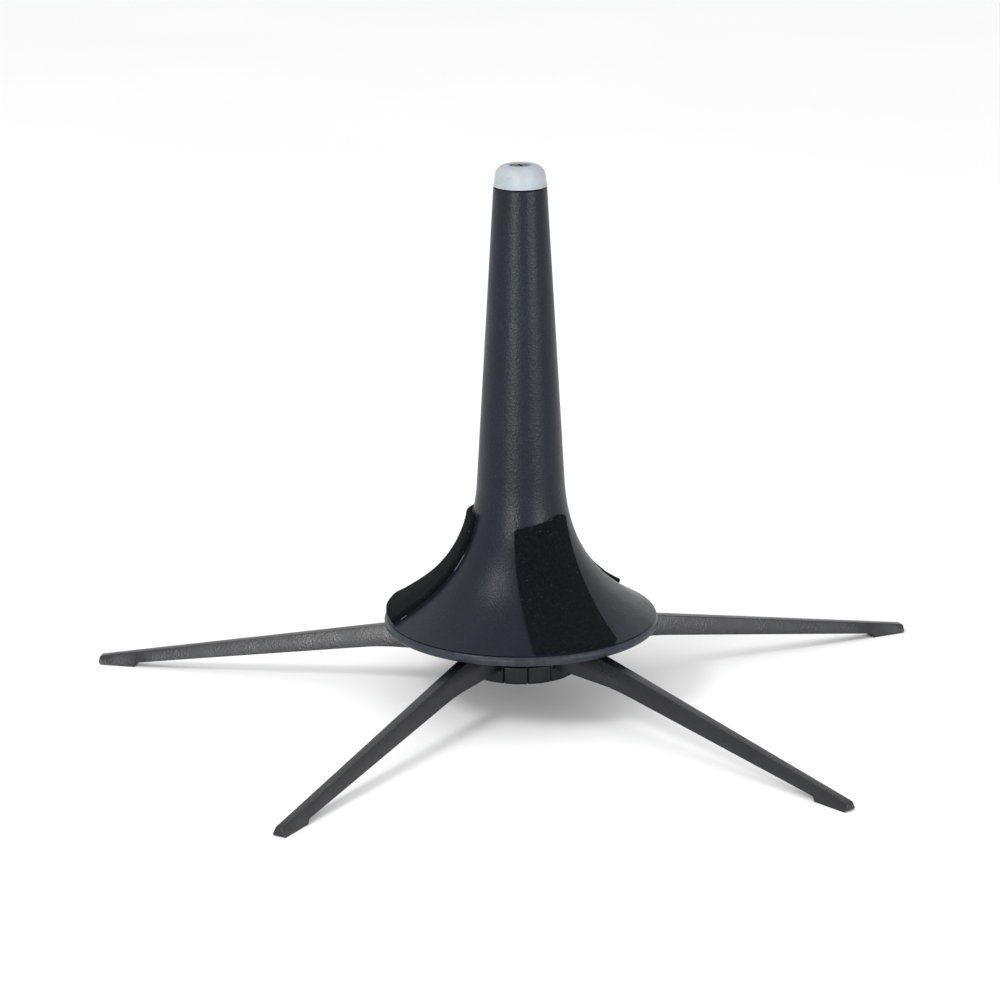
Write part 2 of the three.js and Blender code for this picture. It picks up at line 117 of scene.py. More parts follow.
def smooth(obj, sharp_degrees=35):
    obj.data.shade_smooth()
    obj.data.set_sharp_from_angle(angle=math.radians(sharp_degrees))


def round_edges(obj, width, segments=3, limit_degrees=30):
    bevel = obj.modifiers.new("round", "BEVEL")
    bevel.width = width
    bevel.segments = segments
    bevel.limit_method = "ANGLE"
    bevel.angle_limit = math.radians(limit_degrees)
    bevel.harden_normals = False
    apply_modifiers(obj)


def cut_away(obj, tools):
    """Subtracts closed objects, which are then removed."""
    for tool in tools:
        boolean = obj.modifiers.new("cut", "BOOLEAN")
        boolean.operation = "DIFFERENCE"
        boolean.solver = "MANIFOLD"
        boolean.object = tool
    apply_modifiers(obj)
    for tool in tools:
        bpy.data.objects.remove(tool)


def revolve(name, profile, segments, closed=True):
    """Revolves [radius, z] points about Z. A point on the axis becomes a pole."""
    points, rings = [], []
    for radius, z in profile:
        if radius == 0:
            rings.append([len(points)] * segments)
            points.append((0, 0, z))
            continue
        rings.append(list(range(len(points), len(points) + segments)))
        for k in range(segments):
            angle = math.tau * k / segments
            points.append((radius * math.cos(angle), radius * math.sin(angle), z))
    faces = []
    pairs = list(zip(rings, rings[1:]))
    if closed:
        pairs.append((rings[-1], rings[0]))
    for lower, upper in pairs:
        for k in range(segments):
            after = (k + 1) % segments
            corners = [lower[k], lower[after], upper[after], upper[k]]
            face = list(dict.fromkeys(corners))
            if len(face) > 2:
                faces.append(face)
    return from_faces(name, points, faces)


def arc(centre, radius, start, end, steps):
    """Points on an arc in the [radius, z] plane, from one angle to another in degrees."""
    angles = [math.radians(start + (end - start) * i / steps) for i in range(steps + 1)]
    return [(centre[0] + radius * math.cos(a), centre[1] + radius * math.sin(a)) for a in angles]


def line(start, end, steps):
    """Points along a straight stretch, without its last one."""
    return [
        (start[0] + (end[0] - start[0]) * i / steps, start[1] + (end[1] - start[1]) * i / steps)
        for i in range(steps)
    ]


def place_at(obj, radius, azimuth):
    """Moves a mesh built about Z out along an azimuth."""
    obj.data.transform(Matrix.Rotation(azimuth, 4, "Z") @ Matrix.Translation((radius, 0, 0)))


def upright(name, radius, bottom, top, segments=32):
    return revolve(name, [(0, bottom), (radius, bottom), (radius, top), (0, top)], segments, False)


def block(name, inner, outer, width, bottom, top, azimuth):
    """A block from one radius to another, lying along an azimuth."""
    corners = [
        (x, y, z)
        for z in (bottom, top)
        for x, y in ((inner, -width / 2), (outer, -width / 2), (outer, width / 2), (inner, width / 2))
    ]
    faces = [(0, 1, 2, 3), (4, 5, 6, 7), (0, 1, 5, 4), (1, 2, 6, 5), (2, 3, 7, 6), (3, 0, 4, 7)]
    obj = from_faces(name, corners, faces)
    obj.data.transform(Matrix.Rotation(azimuth, 4, "Z"))
    return obj


def cross_bar(name, radius, start, end, azimuth, segments=32):
    """A bar across a leg's direction, on its hinge axis."""
    obj = upright(name, radius, start, end, segments)
    turn = Matrix.Rotation(-math.pi / 2, 4, "X")
    out = Matrix.Translation((HINGE_RADIUS, 0, HINGE_Z))
    obj.data.transform(Matrix.Rotation(azimuth, 4, "Z") @ out @ turn)
    return obj


# ---- materials ----

class Shader:
    """A principled material with the few node patterns that the stand's finishes share."""

    def __init__(self, name, **sockets):
        self.material = bpy.data.materials.new(name)
        self.material.use_nodes = True
        self.tree = self.material.node_tree
        self.surface = self.tree.nodes["Principled BSDF"]
        self.place = self.add("ShaderNodeTexCoord").outputs["Object"]
        for socket, value in sockets.items():
            self.surface.inputs[socket.replace("_", " ")].default_value = value

    def add(self, kind, **settings):
        node = self.tree.nodes.new(kind)
        for key, value in settings.items():
            setattr(node, key, value)
        return node

    def join(self, output, target):
        self.tree.links.new(output, target)

    def stretched(self, scale):
        mapping = self.add("ShaderNodeMapping")
        mapping.inputs["Scale"].default_value = scale
        self.join(self.place, mapping.inputs["Vector"])
        return mapping.outputs["Vector"]

    def noise(self, size, detail=3.0, roughness=0.5, vector=None):
        """Noise whose features are about the given size in metres."""
        node = self.add("ShaderNodeTexNoise")
        node.inputs["Scale"].default_value = 1 / size
        node.inputs["Detail"].default_value = detail
        node.inputs["Roughness"].default_value = roughness
        self.join(vector or self.place, node.inputs["Vector"])
        return node.outputs["Fac"]

    def cells(self, size, feature="F1"):
        node = self.add("ShaderNodeTexVoronoi", feature=feature)
        node.inputs["Scale"].default_value = 1 / size
        self.join(self.place, node.inputs["Vector"])
        return node.outputs["Distance"]

    def radius(self):
        """Distance from the stand's axis."""
        flat = self.add("ShaderNodeVectorMath", operation="MULTIPLY")
        flat.inputs[1].default_value = (1, 1, 0)
        self.join(self.place, flat.inputs[0])
        length = self.add("ShaderNodeVectorMath", operation="LENGTH")
        self.join(flat.outputs["Vector"], length.inputs[0])
        return length.outputs["Value"]

    def remap(self, value, low, high, new_low=0.0, new_high=1.0):
        node = self.add("ShaderNodeMapRange", clamp=True)
        limits = {"From Min": low, "From Max": high, "To Min": new_low, "To Max": new_high}
        for socket, number in limits.items():
            node.inputs[socket].default_value = number
        self.join(value, node.inputs["Value"])
        return node.outputs["Result"]

    def math(self, operation, first, second):
        node = self.add("ShaderNodeMath", operation=operation)
        for socket, value in zip(node.inputs, (first, second)):
            if isinstance(value, (int, float)):
                socket.default_value = value
            else:
                self.join(value, socket)
        return node.outputs["Value"]

    def mix(self, share, first, second):
        """Mixes two colours, or nodes that give a colour, by a share from 0 to 1."""
        node = self.add("ShaderNodeMix", data_type="RGBA")
        self.join(share, node.inputs["Factor"])
        for socket, value in ((node.inputs["A"], first), (node.inputs["B"], second)):
            if isinstance(value, tuple):
                socket.default_value = (*value, 1)
            else:
                self.join(value, socket)
        return node.outputs["Result"]

    def colour(self, value):
        self.join(value, self.surface.inputs["Base Color"])

    def roughness(self, value):
        self.join(value, self.surface.inputs["Roughness"])

    def bump(self, *layers):
        """Stacks (height, depth in metres) layers into the surface's normal."""
        below = None
        for value, depth in layers:
            node = self.add("ShaderNodeBump")
            node.inputs["Distance"].default_value = depth
            node.inputs["Strength"].default_value = 1
            self.join(value, node.inputs["Height"])
            if below:
                self.join(below, node.inputs["Normal"])
            below = node.outputs["Normal"]
        self.join(below, self.surface.inputs["Normal"])


def moulded_plastic(
    name, dark, light, gloss, grain=0.85 * MM, grain_depth=0.05 * MM, specks=0.5, shine=0.2, highlight_and_wear_beyond=None,
):
    """Satin moulded plastic: a spark-eroded grain, faint flow clouds, pale specks and handling marks.

    Beyond the lip's given radius, the colour is painted paler: a painted highlight on the rounded lip, broken
    up by noise like rubbed wear, as on a lip that meets tables and cases.
    """
    shader = Shader(name, Specular_IOR_Level=shine)
    clouds = shader.noise(28 * MM, 4)
    base = shader.mix(shader.remap(clouds, 0.35, 0.68), dark, light)
    fine = shader.noise(0.55 * MM, 2, 0.6)
    speck_mask = shader.math("MULTIPLY", shader.remap(fine, 0.63, 0.74), specks)
    pale = tuple(min(1, c * 3.2 + 0.02) for c in light)
    surface = shader.mix(speck_mask, base, pale)
    # Painted highlight on the lip: past the given radius the colour is painted paler, partly painted
    # highlight and partly rubbed wear.
    if highlight_and_wear_beyond:
        highlight_and_rubbing = shader.remap(shader.noise(2.5 * MM, 5, 0.7), 0.3, 0.65, 0.3, 1)
        lip = shader.remap(shader.radius(), highlight_and_wear_beyond, highlight_and_wear_beyond + 0.3 * MM)
        wear_and_highlight = shader.math("MULTIPLY", lip, highlight_and_rubbing)
        surface = shader.mix(wear_and_highlight, surface, tuple(c * 1.8 + 0.016 for c in light))
    shader.colour(surface)
    marks = shader.noise(9 * MM, 5, 0.65, shader.stretched((1, 1, 0.35)))
    matte = shader.remap(marks, 0.3, 0.75, gloss - 0.05, gloss + 0.09)
    shader.roughness(shader.math("ADD", matte, shader.remap(fine, 0.4, 0.7, -0.05, 0.05)))
    pebbles = shader.cells(grain)
    shader.bump((shader.noise(4 * MM, 2), 0.05 * MM), (pebbles, grain_depth), (fine, grain_depth * 0.8))
    return shader.material


def felt_cloth(name):
    """Pressed black felt: matted fibres at two scales, with lint and a slight nap."""
    shader = Shader(name, Sheen_Weight=0.01, Sheen_Roughness=0.5, Specular_IOR_Level=0.05)
    mat = shader.noise(1.1 * MM, 6, 0.75)
    strands = shader.noise(0.9 * MM, 4, 0.7, shader.stretched((1, 1, 4)))
    dark = (0.0016, 0.0024, 0.003)
    wear_and_highlight = (0.0058, 0.0076, 0.009)
    base = shader.mix(shader.remap(mat, 0.35, 0.7), dark, wear_and_highlight)
    lint = shader.math("MULTIPLY", shader.remap(shader.noise(0.7 * MM, 2, 0.5), 0.68, 0.76), 0.3)
    shader.colour(shader.mix(lint, base, (0.12, 0.13, 0.15)))
    shader.roughness(shader.remap(strands, 0.3, 0.7, 0.86, 0.99))
    shader.bump((mat, 0.5 * MM), (strands, 0.25 * MM), (shader.noise(0.35 * MM, 3), 0.12 * MM))
    return shader.material


def cap_plastic(name):
    """Pale soft plastic, slightly waxy, with a little grime in its surface."""
    shader = Shader(name, Subsurface_Weight=0.12, Subsurface_Scale=0.002, Specular_IOR_Level=0.45)
    clouds = shader.noise(6 * MM, 4, 0.6)
    base = shader.mix(shader.remap(clouds, 0.35, 0.7), (0.26, 0.289, 0.312), (0.318, 0.352, 0.378))
    grime = shader.math("MULTIPLY", shader.remap(shader.noise(1.2 * MM, 5, 0.7), 0.58, 0.75), 0.22)
    shader.colour(shader.mix(grime, base, (0.3, 0.32, 0.35)))
    shader.roughness(shader.remap(clouds, 0.3, 0.7, 0.42, 0.56))
    shader.bump((shader.noise(0.5 * MM, 3), 0.02 * MM), (shader.noise(5 * MM, 2), 0.08 * MM))
    return shader.material


def screw_steel(name, dark, light, gloss):
    """Plated steel with fine scratches and a mottled finish."""
    shader = Shader(name, Metallic=1.0)
    mottle = shader.noise(0.8 * MM, 4, 0.6)
    shader.colour(shader.mix(shader.remap(mottle, 0.35, 0.65), dark, light))
    scratches = shader.noise(0.25 * MM, 3, 0.6, shader.stretched((1, 9, 1)))
    shader.roughness(shader.remap(scratches, 0.3, 0.7, gloss - 0.08, gloss + 0.12))
    shader.bump((scratches, 0.01 * MM), (mottle, 0.02 * MM))
    return shader.material


def glue_line(name):
    """Adhesive that shows in broken, pale dashes along a pad's edge."""
    shader = Shader(name, Specular_IOR_Level=0.5)
    dashes = shader.remap(shader.noise(4.2 * MM, 2, 0.5), 0.57, 0.61)
    shader.colour(shader.mix(dashes, (0.004, 0.005, 0.006), (0.16, 0.17, 0.18)))
    shader.roughness(shader.remap(shader.noise(1 * MM), 0.3, 0.7, 0.3, 0.5))
    shader.bump((shader.noise(0.8 * MM, 3), 0.08 * MM))
    return shader.material


def pale_floor(name):
    """A plain matte studio floor with barely visible mottling."""
    shader = Shader(name, Specular_IOR_Level=0.1)
    clouds = shader.noise(0.35, 3)
    shader.colour(shader.mix(shader.remap(clouds, 0.3, 0.7), (0.86, 0.86, 0.865), (0.885, 0.885, 0.89)))
    shader.roughness(shader.remap(clouds, 0.3, 0.7, 0.85, 0.95))
    shader.bump((shader.noise(1.5 * MM, 2), 0.03 * MM))
    return shader.material


CONE_FINISH = moulded_plastic(
    "cone satin", (0.003, 0.0052, 0.0088), (0.005, 0.0082, 0.013), 0.37,
    # The lip band is painted paler: a painted highlight, broken up like rubbed wear.
    highlight_and_wear_beyond=RIM_RADIUS - 0.85 * MM,
)
LEG_FINISH = moulded_plastic(
    "leg satin", (0.0045, 0.0047, 0.0064), (0.0074, 0.0077, 0.01), 0.32,
    grain_depth=0.03 * MM, specks=0.25, shine=0.42,
)
HUB_FINISH = moulded_plastic("hub satin", (0.006, 0.0068, 0.0085), (0.0095, 0.0105, 0.0125), 0.4, specks=0.2)
FELT_FINISH = felt_cloth("black felt")
GLUE_FINISH = glue_line("pad adhesive")
CAP_FINISH = cap_plastic("pale cap")
DARK_STEEL = screw_steel("blackened screw", (0.03, 0.03, 0.033), (0.09, 0.09, 0.1), 0.36)
BRIGHT_STEEL = screw_steel("hinge steel", (0.38, 0.38, 0.4), (0.55, 0.55, 0.57), 0.28)


def finish_piece(obj, material, body, slot, *nodes):
    """Dresses a piece, makes it ride on a body and stands it in for its CAD nodes."""
    obj.data.materials.clear()
    obj.data.materials.append(material)
    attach(obj, body)
    if nodes:
        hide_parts(*nodes)
    return obj


# ---- cone ----

CONE_SHOULDER = 191.6
CONE_TOP_RADIUS = 9.7
CONE_TAPER = 0.0588
FLARE_TOP = 82.0
FLARE_BOTTOM = 31.0
FLARE_REACH = 30.9
FLARE_SQUARE_SHARE = 0.53
LIP_CENTRE = (RIM_RADIUS / MM - 2.2, 28.9)
LIP_SIZE = 2.2
LIP_BOTTOM = 27.1
WALL = 2.2
SKIRT_OUTER = 24.5
SKIRT_BORE = 22.0
SKIRT_BOTTOM = 25.6
LEDGE_RADIUS = 19.6
LEDGE_HEIGHT = 36.3
BORE_TOP = 186.0
PEG_RADIUS = 7.7
PEG_TOP = 195.9
PEG_HOLE = 1.8
SHOULDER_ROUNDING = 0.35
LIP_FOOT_ROUNDING = 1.3
LIP_FLAT_INSET = 2.1
SKIRT_ROOT = 50.0
SKIRT_ROUNDING = 0.4
SKIRT_LEAD = 0.5
BORE_FOOT = 58.5
PEG_CHAMFER = 0.5
BORE_HEIGHTS = (62, 66, 70, 74, 78, FLARE_TOP, 120, 150, BORE_TOP)


def cone_radius(z):
    """Outer radius of the cone in mm, at a height in mm above the floor."""
    run = max(0.0, (FLARE_TOP - z) / (FLARE_TOP - FLARE_BOTTOM))
    flare = FLARE_SQUARE_SHARE * run ** 2 + (1 - FLARE_SQUARE_SHARE) * run ** 4
    return CONE_TOP_RADIUS + (CONE_SHOULDER - z) * CONE_TAPER + FLARE_REACH * flare


def cone_point(z, outside):
    """The point a distance outside the cone's surface, or inside it where that is negative."""
    slope = (cone_radius(z + 0.01) - cone_radius(z - 0.01)) / 0.02
    length = math.hypot(slope, 1)
    return cone_radius(z) + outside / length, z - outside * slope / length


def flare_heights(top, bottom, steps):
    return [bottom + (top - bottom) * (1 - i / steps) ** 1.5 for i in range(steps + 1)]


def to_metres(profile):
    return [(radius * MM, height(z)) for radius, z in profile]


def build_cone():
    outside = [
        (CONE_TOP_RADIUS - SHOULDER_ROUNDING, CONE_SHOULDER),
        (CONE_TOP_RADIUS - 0.1, CONE_SHOULDER - 0.1),
        (CONE_TOP_RADIUS, CONE_SHOULDER - SHOULDER_ROUNDING),
    ]
    outside += line((CONE_TOP_RADIUS + 0.05, CONE_SHOULDER - 1.2), (cone_radius(FLARE_TOP), FLARE_TOP), 24)
    outside += [(cone_radius(z), z) for z in flare_heights(FLARE_TOP, FLARE_BOTTOM, 44)]
    edge = cone_radius(FLARE_BOTTOM)
    crease = [(edge - 0.12, FLARE_BOTTOM - 0.2), (edge - 0.3, FLARE_BOTTOM - 0.35)]
    rim = RIM_RADIUS / MM
    lip_foot = (rim - LIP_FOOT_ROUNDING, LIP_BOTTOM + LIP_FOOT_ROUNDING)
    lip = crease + arc(LIP_CENTRE, LIP_SIZE, 50, 0, 12) + arc(lip_foot, LIP_FOOT_ROUNDING, 0, -90, 8)
    lip += [(rim - LIP_FLAT_INSET, LIP_BOTTOM), (rim - LIP_SIZE, LIP_BOTTOM + 0.4)]
    inside = [cone_point(z, -WALL) for z in flare_heights(FLARE_TOP, FLARE_BOTTOM - 0.2, 36)][::-1]
    inside = [p for p in inside if p[0] > SKIRT_OUTER + 0.6]
    skirt = [(SKIRT_OUTER, SKIRT_ROOT), (SKIRT_OUTER, SKIRT_BOTTOM + SKIRT_ROUNDING)]
    skirt += [(SKIRT_OUTER - SKIRT_ROUNDING, SKIRT_BOTTOM), (SKIRT_BORE + SKIRT_LEAD, SKIRT_BOTTOM)]
    skirt += [(SKIRT_BORE, SKIRT_BOTTOM + SKIRT_LEAD), (SKIRT_BORE, LEDGE_HEIGHT)]
    skirt += [(LEDGE_RADIUS, LEDGE_HEIGHT), (LEDGE_RADIUS, BORE_FOOT)]
    bore = [(cone_radius(z) - WALL, z) for z in BORE_HEIGHTS]
    peg = [(PEG_HOLE, BORE_TOP), (PEG_HOLE, PEG_TOP), (PEG_RADIUS - PEG_CHAMFER, PEG_TOP)]
    peg += [(PEG_RADIUS, PEG_TOP - PEG_CHAMFER), (PEG_RADIUS, CONE_SHOULDER)]
    cone = revolve("cone_shell_fine", to_metres(outside + lip + inside + skirt + bore + peg), 192)
    smooth(cone, 32)
    return finish_piece(cone, CONE_FINISH, "cone", "cone_plastic", "cone_shell")


build_cone()


# ---- end cap and its screw ----

CAP_BOTTOM = 191.9
CAP_TOP = 199.6
CAP_SEAT = 197.3
CAP_CEILING = 196.3
CAP_BORE = 8.05
CAP_RECESS = 4.0
CAP_RECESS_ROUNDING = 0.35
CAP_HOLE = 1.8
CAP_ROUNDING = 0.3
CAP_SHOULDER = 4.3
CAP_SCREW_HEAD = 3.65
CAP_SCREW_SHANK = 1.5
CAP_SCREW_TOP = 199.3
CAP_SCREW_TIP = 187.0
SCREW_FLAT_SHARE = 0.55
THREAD_STEP = 0.7


def build_cap():
    outer = CAP_RADIUS / MM
    dome = outer - 0.6
    dome_foot = CAP_TOP - CAP_SHOULDER
    recess_rim = (CAP_RECESS + CAP_RECESS_ROUNDING, CAP_TOP - CAP_RECESS_ROUNDING)
    profile = [(CAP_BORE, CAP_BOTTOM), (outer - CAP_ROUNDING, CAP_BOTTOM)]
    profile += arc((outer - CAP_ROUNDING, CAP_BOTTOM + CAP_ROUNDING), CAP_ROUNDING, -70, 20, 5)
    profile += [(outer - 0.06, CAP_BOTTOM + 0.68), (outer - 0.28, CAP_BOTTOM + 0.86)]
    profile += line((outer - CAP_ROUNDING, CAP_BOTTOM + 1.1), (dome, dome_foot), 5)
    profile += arc((dome - CAP_SHOULDER, dome_foot), CAP_SHOULDER, 2, 88, 18)
    profile += [(CAP_RECESS + 2 * CAP_RECESS_ROUNDING, CAP_TOP)]
    profile += arc(recess_rim, CAP_RECESS_ROUNDING, 95, 180, 5) + [(CAP_RECESS, CAP_SEAT)]
    profile += [(CAP_HOLE, CAP_SEAT), (CAP_HOLE, CAP_CEILING), (CAP_BORE, CAP_CEILING)]
    cap = revolve("end_cap_fine", to_metres(profile), 128)
    smooth(cap, 40)
    return finish_piece(cap, CAP_FINISH, "cone", "cap_rubber", "end_cap")


def build_screw(name, head_radius, head_face, head_depth, shank_radius, tip):
    """A pan-head screw with a cross recess. The head faces away from the tip; heights are in mm."""
    inward = 1 if tip > head_face else -1
    dome = min(0.5, head_depth * 0.45)
    flat, rounded = head_radius * SCREW_FLAT_SHARE, head_radius * (1 - SCREW_FLAT_SHARE)
    profile = [(0, head_face), (flat, head_face)]
    profile += [
        (flat + rounded * math.sin(a), head_face + inward * dome * (1 - math.cos(a)))
        for a in (math.radians(18 * i) for i in range(1, 6))
    ]
    under = head_face + inward * head_depth
    profile += [(head_radius, under), (shank_radius, under)]
    turns = int(abs(tip - under) / THREAD_STEP)
    for i in range(1, turns):
        z = under + inward * THREAD_STEP * i
        profile += [(shank_radius, z - inward * 0.1), (shank_radius - 0.25, z + inward * 0.25)]
    profile += [(shank_radius - 0.5, tip), (0, tip)]
    screw = revolve(name, to_metres(profile), 48, closed=False)
    recess = sorted((height(head_face - inward), height(head_face + inward * head_depth * 0.62)))
    arm = head_radius * 0.56 * MM
    cuts = [
        block(f"{name}_recess_{turn}", -arm, arm, head_radius * 0.24 * MM, *recess, math.radians(turn))
        for turn in (20, 110)
    ]
    cut_away(screw, cuts)
    return screw


def build_cap_screw():
    head_depth = CAP_SCREW_TOP - CAP_SEAT - 0.1
    screw = build_screw(
        "cap_screw_fine", CAP_SCREW_HEAD, CAP_SCREW_TOP, head_depth, CAP_SCREW_SHANK, CAP_SCREW_TIP,
    )
    smooth(screw)
    return finish_piece(screw, DARK_STEEL, "cone", "dark_steel", "cap_screw")


build_cap()
build_cap_screw()


# ---- felt pads ----

PAD_BOTTOM = 31.4
PAD_TOP = 70.3
PAD_LENGTH = 53.0
PAD_OUTER = 2.25
PAD_RIM_WIDTH = 34.7
PAD_TOP_WIDTH = 22.6
PAD_CORNER = 1.1
PAD_ACROSS = 72
PAD_ALONG = 84
# The share of a pad's length beyond which its top end lifts a little.
LIFT_FROM = 0.93
# How far one top corner was cut higher than the other, in mm.
PAD_SKEWS = {1: 1.6, 2: -0.5, 3: 0.4}
# How far its top was pressed on to one side, in radians.
PAD_LEANS = {1: 0.0, 2: 0.04, 3: -0.12}
# How far the adhesive stays inside the felt, in mm. Below zero it shows along the edge.
ADHESIVE_INSETS = {1: 0.05, 2: 0.1, 3: -0.14}


def pad_azimuth(number):
    """Direction of a pad about the stand's axis. Its corners lie evenly on both sides of it."""
    pad = frame["nodes"][f"felt_pad_{number}"]
    middle = sum((pad.matrix_world @ vertex.co for vertex in pad.data.vertices), Vector())
    return math.atan2(middle.y, middle.x)


PAD_AZIMUTHS = {number: pad_azimuth(number) for number in PAD_NUMBERS}


def pad_half_width(along, inset):
    """Half the pad's width in mm at a share of its length, with rounded corners."""
    half = (PAD_RIM_WIDTH + (PAD_TOP_WIDTH - PAD_RIM_WIDTH) * along) / 2 - inset
    to_end = min(along, 1 - along) * PAD_LENGTH
    if to_end < PAD_CORNER:
        half -= PAD_CORNER - math.sqrt(max(0, PAD_CORNER ** 2 - (PAD_CORNER - to_end) ** 2))
    return half


def pad_point(number, across, along, outside, inset=0.0):
    """A point on a pad: across and along run from 0 to 1, outside is its distance off the cone in mm."""
    skew = PAD_SKEWS[number] * (2 * across - 1) * along ** 2
    z = PAD_BOTTOM + inset + (PAD_TOP - PAD_BOTTOM - 2 * inset) * along ** 1.4 + skew
    half = pad_half_width(along, inset)
    wobble = noise.noise(Vector((number * 9.1, along * 6, across))) * 0.18
    angle = ((2 * across - 1) * half + wobble) / (cone_radius(z) + 2)
    radius, rise = cone_point(z, outside)
    turn = PAD_AZIMUTHS[number] + angle + PAD_LEANS[number] * along
    return radius * MM * math.cos(turn), radius * MM * math.sin(turn), height(rise)


def bent_sheet(name, number, across_steps, along_steps, outer, inner, inset):
    """A closed sheet on the flare; outer and inner give its two faces' distances off the cone."""
    row = across_steps + 1
    shares = [(i / across_steps, j / along_steps) for j in range(along_steps + 1) for i in range(row)]

    def layer(distance):
        return [pad_point(number, *share, distance(*share), inset) for share in shares]

    top, bottom = layer(outer), layer(inner)
    below = len(top)
    faces = []
    for j in range(along_steps):
        for i in range(across_steps):
            a = j * row + i
            quad = (a, a + 1, a + row + 1, a + row)
            faces.append(quad)
            faces.append(tuple(below + k for k in reversed(quad)))
    rim = list(range(row - 1))
    rim += [j * row + across_steps for j in range(along_steps)]
    rim += [along_steps * row + i for i in range(across_steps, 0, -1)]
    rim += [j * row for j in range(along_steps, 0, -1)]
    for a, b in zip(rim, rim[1:] + rim[:1]):
        faces.append((a, b, b + below, a + below))
    return from_faces(name, top + bottom, faces)


def end_lift(along, most):
    """How far a pad's top end stands up, in mm."""
    return most * max(0.0, (along - LIFT_FROM) / (1 - LIFT_FROM)) ** 2


def felt_face(number):
    """Height of the felt's face: full thickness, rolling off over the cut edges, with a matted unevenness."""
    def distance(across, along):
        width = 2 * pad_half_width(along, 0)
        edge = min(min(across, 1 - across) * width, min(along, 1 - along) * PAD_LENGTH)
        roll = 0.75 * max(0.0, 1 - edge / 0.9) ** 2
        spot = Vector((across * width, along * PAD_LENGTH, number * 31.0))
        matting = 0.07 * noise.noise(spot * 0.9) + 0.09 * noise.noise(spot * 0.22)
        return PAD_OUTER - 0.12 - roll + matting + end_lift(along, 0.35)
    return distance


def build_pads():
    """Felt pads, each over its adhesive, which shows most at the pad that was pressed on askew."""
    for number in PAD_NUMBERS:
        pad = bent_sheet(
            f"felt_pad_{number}_fine", number, PAD_ACROSS, PAD_ALONG, felt_face(number),
            lambda across, along: 0.22 + end_lift(along, 0.3), 0.0,
        )
        smooth(pad, 60)
        finish_piece(pad, FELT_FINISH, "cone", "felt", f"felt_pad_{number}")
        glue = bent_sheet(
            f"pad_adhesive_{number}", number, 36, 42,
            lambda across, along: 0.2, lambda across, along: 0.02, ADHESIVE_INSETS[number],
        )
        smooth(glue, 60)
        finish_piece(glue, GLUE_FINISH, "cone", "felt")


build_pads()


# ---- legs ----

HINGE_RADIUS = 15 * MM
HINGE_Z = JOINTS["leg_1_fold"]["pos_m"][2]
HINGE_REACH = 15.0
HINGE_HEIGHT = 20.4
KNUCKLE = 5.1
PIN_RADIUS = 1.5 * MM
PIN_HOLE = 1.78 * MM
PIN_HALF_LENGTH = 7 * MM
LEG_ROOT_TOP = 25.2
LEG_REFERENCE = 54.0
LEG_TOP_LINE = (22.8, 0.176)
LEG_UNDER_LINE = (15.2, 0.14)
LEG_BEND = 6.5
LEG_WIDTHS = (7.2, 5.0)
LEG_DRAFTS = (3.0, 2.1)
DRAFT_STARTS = 24.0
DRAFT_FULL = 36.0
HEEL_START = 149.9
HEEL = 150.5
TOE = 164.0
LEG_END = 164.8


def bent_line(radius, level, fall_line):
    """A level stretch that bends smoothly into a falling one; all in mm."""
    at_reference, slope = fall_line
    bend = LEG_REFERENCE - (level - at_reference) / slope
    if radius <= bend - LEG_BEND:
        return level
    if radius >= bend + LEG_BEND:
        return at_reference - slope * (radius - LEG_REFERENCE)
    return level - slope * (radius - bend + LEG_BEND) ** 2 / (4 * LEG_BEND)


def leg_top(radius):
    return bent_line(radius, LEG_ROOT_TOP, LEG_TOP_LINE)


def leg_under(radius):
    return bent_line(radius, HINGE_HEIGHT - KNUCKLE, LEG_UNDER_LINE)


def leg_stations():
    """(radius, underside, top) along the leg, from its knuckle to the end of its foot."""
    stations = []
    for degrees in (7, 18, 30, 42, 54, 66, 78, 90):
        angle = math.radians(degrees)
        half = KNUCKLE * math.sin(angle)
        top = min(LEG_ROOT_TOP, HINGE_HEIGHT + half)
        stations.append((HINGE_REACH - KNUCKLE * math.cos(angle), HINGE_HEIGHT - half, top))
    near_hub = [20, DRAFT_STARTS, 27, 30, 33, DRAFT_FULL, 39, 42, 45, 48, 51, 54, 57, 60]
    far_out = [68, 80, 92, 105, 118, 130, 142]
    stations += [(r, leg_under(r), leg_top(r)) for r in near_hub + far_out]
    stations.append((HEEL_START, leg_under(HEEL_START), leg_top(HEEL_START)))
    stations += [(r, 0.0, leg_top(r)) for r in (HEEL, 158.0, TOE)]
    stations.append((TOE + 0.5, 0.3, leg_top(TOE) - 0.3))
    stations.append((LEG_END, 0.95, leg_top(TOE) - 0.95))
    return stations


def leg_half_widths(radius):
    """Half widths of the underside and the top. The sides lean in, except at the knuckle."""
    along = min(1.0, max(0.0, (radius - DRAFT_STARTS) / (LEG_END - DRAFT_STARTS)))
    ease = min(1.0, max(0.0, (radius - DRAFT_STARTS) / (DRAFT_FULL - DRAFT_STARTS)))
    ease = ease * ease * (3 - 2 * ease)
    bottom = LEG_WIDTHS[0] + (LEG_WIDTHS[1] - LEG_WIDTHS[0]) * along
    draft = (LEG_DRAFTS[0] + (LEG_DRAFTS[1] - LEG_DRAFTS[0]) * along) * ease
    return bottom / 2, (bottom - draft) / 2


